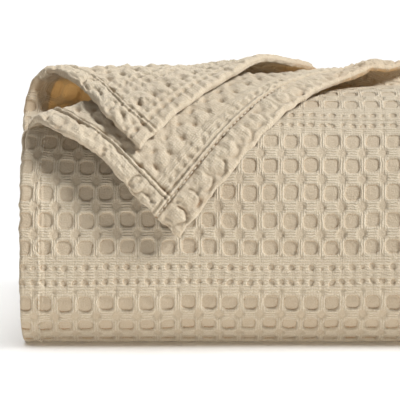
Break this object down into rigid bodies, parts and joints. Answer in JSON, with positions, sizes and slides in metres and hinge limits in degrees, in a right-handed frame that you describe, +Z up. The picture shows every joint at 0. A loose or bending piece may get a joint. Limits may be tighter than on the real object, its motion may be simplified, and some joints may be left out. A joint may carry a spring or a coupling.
{
  "type": "folded waffle weave cotton blanket",
  "caption": "Soft cotton waffle weave blanket folded into a thick flat bundle, its near corner turned down over the front to show hemmed edges.",
  "frame": {"origin": "centre of the bounding box in X and Y, at the bundle's underside", "axes": "+Z up; the rounded front with the turned-down corner faces -Y; X runs along the front, the hemmed end at -X"},
  "size_m": [0.4404, 0.2928, 0.1276],
  "materials": {
    "cotton": "undyed sand-coloured cotton, matt, deep waffle relief"
  },
  "bodies": {
    "root": {"blanket": "cotton"}
  },
  "joints": []
}
